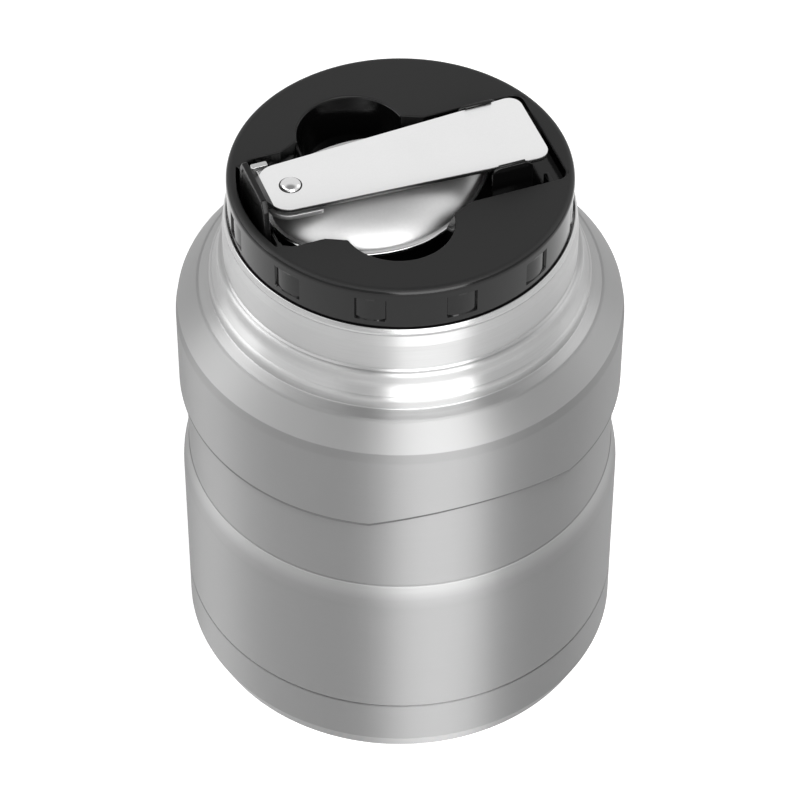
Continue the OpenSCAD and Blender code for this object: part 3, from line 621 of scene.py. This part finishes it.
# %% Directions and edges
NOTCH_PITCH, NOTCH_HALF, NOTCH_LOW, NOTCH_HIGH = 30, 3.2, 119.6, 125.2
NOTCH_IN, NOTCH_CROWN, NOTCH_SIDE, NOTCH_END = 0.5, 0.4, 0.069, 0.2
COLUMN_STEP, COLUMN_GAP = 0.6, 0.17
half_notch = np.array([0.2, 0.4, 0.6, 0.8, 0.93, 1])
side_step = np.degrees(np.hstack([-half_notch[::-1], 0, half_notch]) * NOTCH_HALF / CAP_R)
notch_columns = (np.arange(0, 360, NOTCH_PITCH)[:, None] + side_step).ravel() % 360
even_columns = np.arange(0, 360, COLUMN_STEP)
gap = np.abs((even_columns[:, None] - notch_columns + 180) % 360 - 180).min(1)
cap_angles = np.radians(np.sort(np.append(even_columns[gap > COLUMN_GAP], notch_columns)))
rim_x, rim_y = np.cos(cap_angles), np.sin(cap_angles)
ux, uy = CAP_R * rim_x - SEAT_X, CAP_R * rim_y
ux, uy = ux / np.hypot(ux, uy), uy / np.hypot(ux, uy)

# side_on is the way to the foot of a pocket's middle, pocket_off how far the direction passes beside it
side_on = np.abs(uy) * POCKET_Y
pocket_off = np.sqrt(np.maximum(POCKET_Y**2 - side_on**2, 0))
near_pocket = side_on - np.sqrt(np.maximum(side_on**2 - POCKET_Y**2 + POCKET_R**2, 0))
touch = math.sqrt(POCKET_Y**2 - POCKET_R**2)
meets = side_on > touch

edge_channel, edge_pocket, edge_slot = (reach(inside, ux, uy) for inside in (in_channel, in_pocket, in_slot))
is_pocket, is_slot = meets & (edge_pocket > edge_channel), edge_slot > edge_channel
seat_edge = np.maximum.reduce([edge_channel, np.where(meets, edge_pocket, 0), edge_slot])
eased = (np.roll(seat_edge, 1) + 2 * seat_edge + np.roll(seat_edge, -1)) / 4
seat_edge = np.where(is_slot, seat_edge, eased)
bay_edge = np.minimum(reach(in_bay, ux, uy), seat_edge)
root_line = np.where(is_slot, (CHANNEL_X0 - SEAT_X) / np.minimum(ux, -0.1), 0)
print("cap columns:", len(ux), " over a pocket:", is_pocket.sum(), " over the slot:", is_slot.sum())

# %% [markdown]
# ## The cap's surface
# Rings run outward from the middle: over the bowl's floor, across a pocket's floor and up its drafted
# wall, or up the bay's and the channel's walls, round the top edge, over the top, down the rim and back
# underneath. The recess and the rim are glossier than the grained top, so their rows are marked.

# %% Seat and top
EDGE, TOP_ROUND, WALL_DRAFT = 0.35, 1.3, 0.01
EDGE_LOW = CAP_TOP - EDGE
POCKET_SLOPE = POCKET_DRAFT / (CAP_TOP - POCKET_FLOOR)
lowest = np.clip(POCKET_FLOOR + (pocket_off - POCKET_R + POCKET_DRAFT) / POCKET_SLOPE, POCKET_FLOOR, CAP_TOP)


def to_rim(radius):
    """Distance from the seat's middle to the circle of that radius about the axis."""
    along = SEAT_X * ux
    return -along + np.sqrt(along**2 + radius**2 - SEAT_X**2)


def on_wall(z):
    """Distance to a pocket's sloping wall at that height, where its circle has the radius r: the way to the
    pocket's middle plus sqrt(r^2 - off^2), off being how far the direction passes beside that middle."""
    r = POCKET_R - (CAP_TOP - z) * POCKET_SLOPE
    return np.minimum(side_on + np.sqrt(np.maximum(r**2 - pocket_off**2, 0)),
                      seat_edge - (CAP_TOP - z) * WALL_DRAFT)


def choose(pocket, slot, left, right):
    """The value for each direction, by the kind of edge that it meets."""
    return np.where(is_pocket, pocket, np.where(is_slot, slot, np.where(ux < 0, left, right)))


def wall_ring(z, distances, heights):
    """A ring on the pocket's wall at that height, or at its floor, and as given for the other kinds."""
    return choose(on_wall(z), *distances), choose(np.maximum(lowest, z), *heights)


pocket_in = np.where(meets, near_pocket, touch)
pocket_out = np.where(meets & ~is_pocket, np.minimum(edge_pocket, bay_edge - 0.3), pocket_in + 0.3)
dip = np.where(meets, np.minimum(lowest, BOWL_FLOOR), BOWL_FLOOR)
recess = [
    (pocket_in * 0.5, BOWL_FLOOR),
    (pocket_in - 0.05, BOWL_FLOOR),
    (pocket_in + 0.1, dip),
    wall_ring(POCKET_FLOOR, [pocket_out - 0.1] * 3, [dip] * 3),
    wall_ring(120.2, [pocket_out] * 3, [BOWL_FLOOR] * 3),
    wall_ring(122, [root_line, seat_edge - 0.15, bay_edge - 0.1], [BOWL_FLOOR] * 3),
    wall_ring(124, [root_line + 0.1, seat_edge - 0.08, bay_edge], [SLOT_FLOOR, 122.5, CHANNEL_FLOOR]),
    wall_ring(125.5, [seat_edge - 0.1, seat_edge - 0.04, seat_edge - 0.1],
              [SLOT_FLOOR, 125.2, CHANNEL_FLOOR]),
    (choose(on_wall(EDGE_LOW - 0.1), *[seat_edge] * 3), EDGE_LOW - 0.1),
]
top_edge = [(seat_edge + EDGE * (1 - math.cos(a)), EDGE_LOW + EDGE * math.sin(a))
            for a in np.radians(np.linspace(0, 90, 6))]
top = [(seat_edge + EDGE + 0.15, CAP_TOP), (to_rim(CAP_R - TOP_ROUND - 0.2), CAP_TOP)]
seat_rows = [np.stack([SEAT_X + d * ux, d * uy, z + 0 * d], -1) for d, z in recess + top_edge + top]
print("rows in the recess:", len(recess), " on its edge:", len(top_edge), " on the top:", len(top))

# %% [markdown]
# ## The cap's rim
# The grip notches are shallow cushions: each is sunk at its sides and ends, and bulges in its middle
# almost to the rim's radius. Below, a small rounding leads to the flat underside.

# %% Rim
ROUND_ROWS, RIM_FOOT = 7, 0.3


def rim_row(radius, z):
    """A row of the rim at one height. Across a notch, s runs from -1 to 1 and the radius falls by
    0.5 - 0.4 * (1 - s^2), a cushion between two sunk edges, with a short ramp at its sides and ends."""
    off = (np.degrees(cap_angles) + NOTCH_PITCH / 2) % NOTCH_PITCH - NOTCH_PITCH / 2
    s = np.minimum(np.abs(np.radians(off)) * CAP_R / NOTCH_HALF, 1)
    aside = np.clip((1 - s) / NOTCH_SIDE, 0, 1)
    up = np.clip(min(z - NOTCH_LOW, NOTCH_HIGH - z) / NOTCH_END, 0, 1)
    r = radius - (NOTCH_IN - NOTCH_CROWN * (1 - s**2)) * aside * up
    return np.stack([r * rim_x, r * rim_y, np.full(len(r), z)], -1)


rim_line = [*arc((CAP_R - TOP_ROUND, CAP_TOP - TOP_ROUND), TOP_ROUND, 90, 0, ROUND_ROWS)]
rim_line += [(CAP_R, z) for z in (126.4, 125.4, 125.2, 125, 124.8, 122.4, 120, 119.8, 119.6, 119.4, 118)]
rim_line += [*arc((CAP_R - RIM_FOOT, CAP_LOW + RIM_FOOT), RIM_FOOT, 0, -90, 3)]
rim_line += [(31.1, 117.5), (31.0, 117.6), (31.0, 118.1)]
cap_points = np.stack(seat_rows + [rim_row(r, z) for r, z in rim_line])
cap_shells = [shell(cap_points, first=np.array([SEAT_X, 0, BOWL_FLOOR]), last=np.array([0, 0, 118.1]))]
row = np.arange(len(cap_points))
glossy = (row <= len(recess)) | (row > len(seat_rows) + ROUND_ROWS // 2)
cap_marks = row_marks(glossy, cap_points.shape[1], 1, 0)
print("cap rows:", len(cap_points), " glossy:", glossy.sum())

# %% [markdown]
# ## Clips, ribs and cheeks
# Two thin clips stand in the channel and hold the handle with a small lip. A rib stiffens the floor
# beside each, and a cheek on each side of the slot guides the latch. All are flat parts, mirrored.

# %% Clips, ribs and cheeks
CLIP_X0, CLIP_X1, CLIP_TOP, CLIP_IN, CLIP_OUT, CLIP_FOOT = 16.0, 24.7, 131.5, 9.55, 10.2, 125.0


def along_x(u, v, w):
    """Outline in x and height, thickness along y."""
    return np.stack([u, w, v], -1)


def across_y(u, v, w):
    """Outline in y and height, thickness along x."""
    return np.stack([w, u, v], -1)


wall = softened([(CLIP_X0, CLIP_FOOT, 0), (CLIP_X1, CLIP_FOOT, 0), (CLIP_X1, CLIP_TOP, 1.8),
                 (CLIP_X0, CLIP_TOP, 1.8)], closed=True, steps=6)
LIP = np.array([(9.15, 131.3, 0.1), (9.7, 131.25, 0), (9.9, 131.25, 0), (9.9, 131.62, 0.15),
                (9.3, 131.6, 0.15)])
RIB = np.array([(10.0, CLIP_FOOT, 0), (10.0, 127.2, 0.3), (13.6, 127.2, 0), (13.6, CLIP_FOOT, 0)])
CHEEK = np.array([(-30.42, 8.3, 0.2), (-29.88, 8.3, 0.2), (-29.88, 11.2, 0), (-29.3, 12.9, 0),
                  (-30.9, 12.9, 0), (-30.42, 11.8, 0)])
for side in (-1, 1):
    lip, rib, cheek = (softened(corners * mirror, closed=True, steps=3) for corners, mirror in (
        (LIP, [side, 1, 1]), (RIB, [side, 1, 1]), (CHEEK, [1, side, 1])))
    cap_shells += [slab(wall, *sorted((side * CLIP_IN, side * CLIP_OUT)), 0.2, along_x),
                   slab(lip, CLIP_X0 + 1.5, CLIP_X1 - 1.5, 0.1, across_y),
                   slab(rib, CLIP_X1 + 2.4, CLIP_X1 + 3.6, 0.15, across_y),
                   slab(cheek, 119.9, CAP_TOP - 0.02, 0.15, upright)]
piece("stopper_top", cap_shells, "stopper", ["stopper_cap"], CHARCOAL, sharp=30,
      marks=[cap_marks] + [1] * (len(cap_shells) - 1))

# %% [markdown]
# ## Plug, gasket and end plate
# Below the cap hangs a hollow plug full of foam. It carries the four lugs of the stopper's thread, a ribbed
# silicone ring that seals on the vessel's ledge, and a plate that closes it. All are turned shapes.

# %% Plug
PLUG_R, PLUG_FOOT_R, PLUG_FOOT_Z = 32.6, 30.2, 97.4
plug_line = softened([(PLUG_R, CAP_LOW, 0), (PLUG_R, 100.2, 0.2), (PLUG_FOOT_R, 100.2, 0.1),
                      (PLUG_FOOT_R, PLUG_FOOT_Z, 0.1), (28.6, PLUG_FOOT_Z, 0.1), (28.6, 101.8, 0.2),
                      (31.0, 101.8, 0.3), (31.0, CAP_LOW, 0)], closed=True)
piece("stopper_wall", [turned(plug_line)] + lug_bars(PLUG_R, 107.7, 1), "stopper", ["stopper_plug"],
      GLOSS_BLACK)
gasket_line = softened([(30.3, 98.0, 0.2), (31.4, 98.05, 0.3), (32.6, 98.4, 0.25), (32.2, 99.0, 0.25),
                        (32.6, 99.6, 0.25), (32.3, 100.2, 0.2), (30.3, 100.2, 0.2)], closed=True, steps=4)
piece("sealing_ring", [turned(gasket_line)], "gasket", ["stopper_gasket"], SILICONE)
end_line = softened([(0, 96.35), (24, 96.35, 0.4), (25, 96.0, 0.4), (PLUG_FOOT_R, 96.0, 0.5),
                     (PLUG_FOOT_R, PLUG_FOOT_Z, 0.1), (0, PLUG_FOOT_Z)])
piece("plug_end", [turned(end_line)], "stopper", ["stopper_end_plate"], GLOSS_BLACK)

# %% [markdown]
# ## The latch
# A springy upright plate stands in the slot behind the spoon. Its outer face has a raised border, its top
# corners are cut back, and a nose at the top leans in over the handle's end.

# %% Latch
LATCH_BACK, LATCH_FRONT, NOSE_HALF = -31.6, -30.4, 5.3
latch_outline = softened([(-8.0, 120.4, 0.3), (8.0, 120.4, 0.3), (8.0, 127.5, 1.2), (7.35, 132.4, 0.5),
                          (6.0, 134.6, 0.5), (-6.0, 134.6, 0.5), (-7.35, 132.4, 0.5), (-8.0, 127.5, 1.2)],
                         closed=True, steps=4)
nose = softened([(-30.6, 131.3, 0), (-28.7, 131.3, 0.1), (-28.7, 131.9, 0.2), (-30.2, 133.6, 0.3),
                 (-30.6, 133.6, 0)], closed=True, steps=3)
piece("spring_latch", [slab(latch_outline, LATCH_BACK, LATCH_FRONT, 0.22, across_y, dish=0.25),
                       slab(nose, -NOSE_HALF, NOSE_HALF, 0.15, along_x)], "latch", ["spoon_latch"],
      GLOSS_BLACK)

# %% [markdown]
# ## The spoon's bowl
# The bowl lies face down. It is pressed from one sheet, so it is a polar surface again: rings run from the
# crown down the dome, over a narrow flat rim, round its edge and back up inside, a sheet lower. The rim is
# marked: its steel is glossier there, and painted lighter as a painted highlight along its edge.

# %% Bowl
RIM_TOP, RIM_UNDER, CROWN, FLANGE, BOWL_SHEET = 123.15, 122.15, 6.7, 1.2, 1


def crown_height(x, y, margin):
    """Height over the rim: CROWN * ((1 - share^3 or ^2.2) * (1 - (y / half width)^2))^0.8."""
    fall = 1 - bowl_share(x, margin) ** np.where(x < SEAT_X, 3, 2.2)
    across = 1 - np.clip(np.abs(y) / np.maximum(bowl_half_width(x, margin), 1e-6), 0, 1) ** 2
    return CROWN * (fall * across) ** 0.8


def bowl_rings(margin, base, turns, count):
    """Rings from near the crown to the foot of the dome: a share sin(b) of the way to the dome's outline."""
    edge = reach(lambda x, y: (np.abs(y) <= bowl_half_width(x, margin)) & (x > BOWL_ROOT + margin)
                 & (x < BOWL_TIP - margin), np.cos(turns), np.sin(turns))
    share = np.sin(np.radians(np.linspace(0, 90, count + 1)[1:]))[:, None]
    x, y = SEAT_X + share * edge * np.cos(turns), share * edge * np.sin(turns)
    return np.stack([x, y, base + crown_height(x, y, margin)], -1)


turns = np.linspace(0, 2 * np.pi, 240, endpoint=False)
outer = bowl_rings(FLANGE, RIM_TOP, turns, 40)
inner = bowl_rings(FLANGE + BOWL_SHEET, RIM_UNDER, turns, 34)
brim = bowl_rings(0, RIM_TOP, turns, 1)[0] * [1, 1, 0]
middle = np.array([SEAT_X, 0, 0])
rim_rings = [brim + (middle - brim) * [k, k, 0] + [0, 0, z]
             for k, z in ((0.02, RIM_TOP), (0.012, RIM_TOP - 0.05), (0.003, RIM_TOP - 0.2),
                          (0, RIM_TOP - 0.5), (0.003, RIM_UNDER + 0.2), (0.012, RIM_UNDER + 0.05),
                          (0.02, RIM_UNDER))]
bowl_points = np.concatenate([outer, np.stack(rim_rings), inner[::-1]])
bowl_shell = shell(bowl_points, first=np.array([SEAT_X, 0, RIM_TOP + CROWN]),
                   last=np.array([SEAT_X, 0, RIM_UNDER + CROWN]))
row = np.arange(len(bowl_points))
# painted highlight: the rows round the rim's edge take the lighter, glossier second look
rim_highlight_mark = row_marks((row >= len(outer)) & (row < len(outer) + len(rim_rings)), len(turns))
print("bowl rows:", len(bowl_points), " of these on the rim:", len(rim_rings))

# %% [markdown]
# ## Tang and handle
# The tang is a flat tongue on the crown's hinge side, a little wider than the handle and with a small lug
# that stops it. The handle is a flat bar that widens towards its free end. Both are the same tapered outline.
# The handle's side walls are marked and painted darker than its satin top, a painted shade along its edges.

# %% Tang and handle
HANDLE_X, HINGE_HALF, WIDE_HALF, TAPER_RUN, HINGE_CORNER = 29.0, 6.7, 9.45, 51, 4.2
TANG_END, TANG_GROW, TANG_LOW, TANG_TOP = -19.0, 0.4, 128.85, 129.85
HANDLE_LOW, HANDLE_TOP = 130.2, 131.2


def handle_outline(grow=0.0, end=HANDLE_X, corner=2.8):
    """A long trapezoid with rounded corners, wider by grow on each side. Its half width grows from
    HINGE_HALF at the hinge end to WIDE_HALF over TAPER_RUN, and so on to its end."""
    left, near = -HANDLE_X - grow, HINGE_HALF + grow
    far = near + (WIDE_HALF - HINGE_HALF) / TAPER_RUN * (end + HANDLE_X)
    return softened([(left, near, HINGE_CORNER + grow), (left, -near, HINGE_CORNER + grow),
                     (end, -far, corner), (end, far, corner)], closed=True, steps=10)


def tab_outline(start, corner):
    """The stop lug's outline from that distance beside the middle line out to its edge."""
    return softened([(-29.0, start, corner), (-25.6, start, corner), (-25.6, 8.8, 0.3), (-29.0, 8.8, 0.3)],
                    closed=True, steps=3)


tang = slab(handle_outline(TANG_GROW, TANG_END, 0.4), TANG_LOW, TANG_TOP, 0.06, upright)
tab_foot = slab(tab_outline(5.0, 0), TANG_LOW + 0.01, TANG_TOP - 0.01, 0.15, upright)
tab = slab(tab_outline(7.5, 0.2), TANG_LOW + 0.05, 131.0, 0.15, upright)
piece("bowl", [bowl_shell, tang, tab_foot, tab], "spoon", ["spoon_bowl"], BOWL,
      marks=[rim_highlight_mark, 0, 0, 0])
handle_shell = slab(handle_outline(), HANDLE_LOW, HANDLE_TOP, 0.12, upright)
# painted shade: the side walls take the darker second look
painted_shade_walls = handle_shell[0][:, 2] < HANDLE_TOP - 0.01
piece("handle", [handle_shell], "handle", ["spoon_handle"], SATIN, marks=[painted_shade_walls])

# %% [markdown]
# ## Rivet and washer
# The hinge is a rivet: a domed head over the handle, a shank through both sheets and a foot that is spread
# under the tang. A thin washer keeps the sheets apart. The rows below the dome are marked dark, a painted
# shadow that draws a fine line round the head where it meets the handle.

# %% Rivet and washer
RIVET, RIVET_COLUMNS, DOME_STEPS, DOME = (-23.4, 0), 64, 14, (2.1, 0.9)
rivet_line = np.vstack([arc((0, 0), 1, 90, 0, DOME_STEPS) * DOME + [0, 131.25],
                        [(2.12, 131.22), (2.36, 131.22), (2.3, 131.1), (1.2, 131.22), (1.2, 128.86),
                         (2.0, 128.85), (2.1, 128.75), (2.1, 128.3), (1.9, 128.16), (0, 128.15)]])
# painted shadow: the rows below the dome take the dark second look
painted_gap_shadow = row_marks(np.arange(1, len(rivet_line) - 1) > DOME_STEPS, RIVET_COLUMNS)
piece("rivet", [turned(rivet_line, RIVET_COLUMNS, centre=RIVET)], "spoon", ["spoon_rivet"],
      POLISHED, marks=[painted_gap_shadow])
washer_line = softened([(1.25, 129.85, 0.05), (2.7, 129.85, 0.08), (2.7, 130.18, 0.08), (1.25, 130.18, 0.05)],
                       closed=True, steps=2)
piece("washer", [turned(washer_line, RIVET_COLUMNS, centre=RIVET)], "spoon", ["spoon_washer"],
      FOAM)

# %% [markdown]
# ## Hidden pieces
# The pieces inside the vacuum space and the plug are right as solids, so they keep their meshes and only
# get their finishes.

# %% Finishes of the carried pieces
for node_name, material in {"outer_bottom": INNER, "vent_seal": SOLDER, "getter_clip": INNER,
                            "getter_pellet": GETTER, "foil_wrap": FOIL, "stopper_foam": FOAM}.items():
    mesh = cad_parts[node_name].data
    mesh.materials.clear()
    mesh.materials.append(material)
    print(f"{node_name}: {material.name}")

# %% [markdown]
# ## Camera
# The view looks down at the jar from the front, a little from the left, through a long lens that keeps
# the walls nearly parallel. The camera's axes are worked out from its angles.

# %% Camera
AZIMUTH, ELEVATION, ROLL = math.radians(-20.4), math.radians(45.8), math.radians(0.133)


def toward(azimuth, elevation):
    """The unit direction at those angles, seen from the jar. Azimuth 0 is in front."""
    return Vector((math.sin(azimuth) * math.cos(elevation), -math.cos(azimuth) * math.cos(elevation),
                   math.sin(elevation)))


back = toward(AZIMUTH, ELEVATION)
right = Vector((math.cos(AZIMUTH), math.sin(AZIMUTH), 0))
up = back.cross(right)
tilted_right = right * math.cos(ROLL) + up * math.sin(ROLL)
tilted_up = up * math.cos(ROLL) - right * math.sin(ROLL)
camera_data = bpy.data.cameras.new("camera")
camera_data.lens, camera_data.sensor_width, camera_data.clip_end = 171.55, 36.0, 20
camera_data.shift_x, camera_data.shift_y = 0.00014, 0.000625
camera = placed("camera", camera_data)
stand = Matrix((tilted_right, tilted_up, back)).transposed().to_4x4()
stand.translation = (-0.19852, -0.53380, 0.64686)
camera.matrix_world = stand
bpy.context.scene.camera = camera
print("camera stands", round(stand.translation.length, 3), "m from the foot's middle")

# %% [markdown]
# ## Floor and world
# The jar stands on white paper in an even soft room. The paper must look white and still show a shadow.
# So the floor glows and the room is bright only for the rays of the camera, of gloss and of glass that
# look at them, while the light that falls on the jar stays low.

# %% Floor and world
FLOOR_HALF, FLOOR_GLOW, ROOM_LIGHT = 3.0, 0.6, 0.25


def shown_light(tree):
    """1 for what the camera, gloss and glass see, and 0 for light that falls on anything else."""
    rays = add(tree, "ShaderNodeLightPath").outputs
    seen = rays["Is Camera Ray"]
    for kind in ("Is Glossy Ray", "Is Transmission Ray"):
        seen = add(tree, "ShaderNodeMath", {0: seen, 1: rays[kind]}, operation="MAXIMUM").outputs[0]
    return seen


floor_mesh = bpy.data.meshes.new("floor")
floor_mesh.from_pydata([(x * FLOOR_HALF, y * FLOOR_HALF, 0) for x, y in ((-1, -1), (1, -1), (1, 1), (-1, 1))],
                       [], [(0, 1, 2, 3)])
ground = placed("floor", floor_mesh)
paper = bpy.data.materials.new("white_paper")
paper.use_nodes = True
tree = paper.node_tree
sockets = tree.nodes["Principled BSDF"].inputs
for socket, value in {"Base Color": (0.8, 0.8, 0.8, 1), "Roughness": 0.9, "Specular IOR Level": 0.0,
                      "Emission Color": (1, 1, 1, 1)}.items():
    sockets[socket].default_value = value
glow = add(tree, "ShaderNodeMath", {0: shown_light(tree), 1: FLOOR_GLOW}, operation="MULTIPLY")
tree.links.new(glow.outputs[0], sockets["Emission Strength"])
floor_mesh.materials.append(paper)
ground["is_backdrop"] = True

world = bpy.data.worlds.new("studio")
bpy.context.scene.world = world
world.use_nodes = True
tree = world.node_tree
way = add(tree, "ShaderNodeSeparateXYZ", {0: add(tree, "ShaderNodeTexCoord").outputs["Generated"]})
ceiling = add(tree, "ShaderNodeMapRange",
              {"Value": way.outputs["Z"], "From Min": 0.8, "From Max": 0.97, "To Min": 1.0, "To Max": 0.35},
              interpolation_type="SMOOTHSTEP")
level = add(tree, "ShaderNodeMix", {0: shown_light(tree), 2: ROOM_LIGHT, 3: ceiling.outputs[0]})
tree.links.new(level.outputs[0], tree.nodes["Background"].inputs["Strength"])
tree.nodes["Background"].inputs["Color"].default_value = (1, 1, 1, 1)
print("floor", 2 * FLOOR_HALF, "m wide, room light", ROOM_LIGHT)

# %% [markdown]
# ## Lamps
# A tall soft lamp in front draws the bright band down the steel. A weak one fills the left side, one from
# behind on the left lifts the far edge, and a faint one does the same on the right.

# %% Lamps
JAR_MIDDLE = Vector((0, 0, 0.07))


def softbox(name, azimuth, elevation, distance, size, power):
    """An area lamp on a sphere round the jar's middle, aimed at it. Azimuth 0 is in front."""
    way = toward(math.radians(azimuth), math.radians(elevation))
    data = bpy.data.lights.new(name, "AREA")
    data.shape, data.size, data.size_y, data.energy = "RECTANGLE", size[0], size[1], power
    lamp = placed(name, data)
    lamp.location = JAR_MIDDLE + way * distance
    lamp.rotation_mode = "QUATERNION"
    lamp.rotation_quaternion = way.to_track_quat("Z", "Y")
    print(f"{name}: {power} W at {distance} m")


softbox("key_lamp", -3, 27, 1.0, (0.74, 1.0), 13.0)
softbox("fill_lamp", -76, 42, 1.2, (0.8, 0.8), 2.0)
softbox("edge_lamp", -118, 30, 1.2, (0.7, 0.9), 5.5)
softbox("side_lamp", 92, 30, 1.2, (0.6, 0.9), 1.6)

# %% [markdown]
# ## Size
# The dressed jar may not outgrow its solids, so both boxes are printed.

# %% Size and finish
bpy.context.scene.view_settings.view_transform = "Standard"
shown_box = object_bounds()
for title, box in (("CAD box", cad_box), ("shown box", shown_box)):
    print(title, [[round(v, 4) for v in c] for c in box])
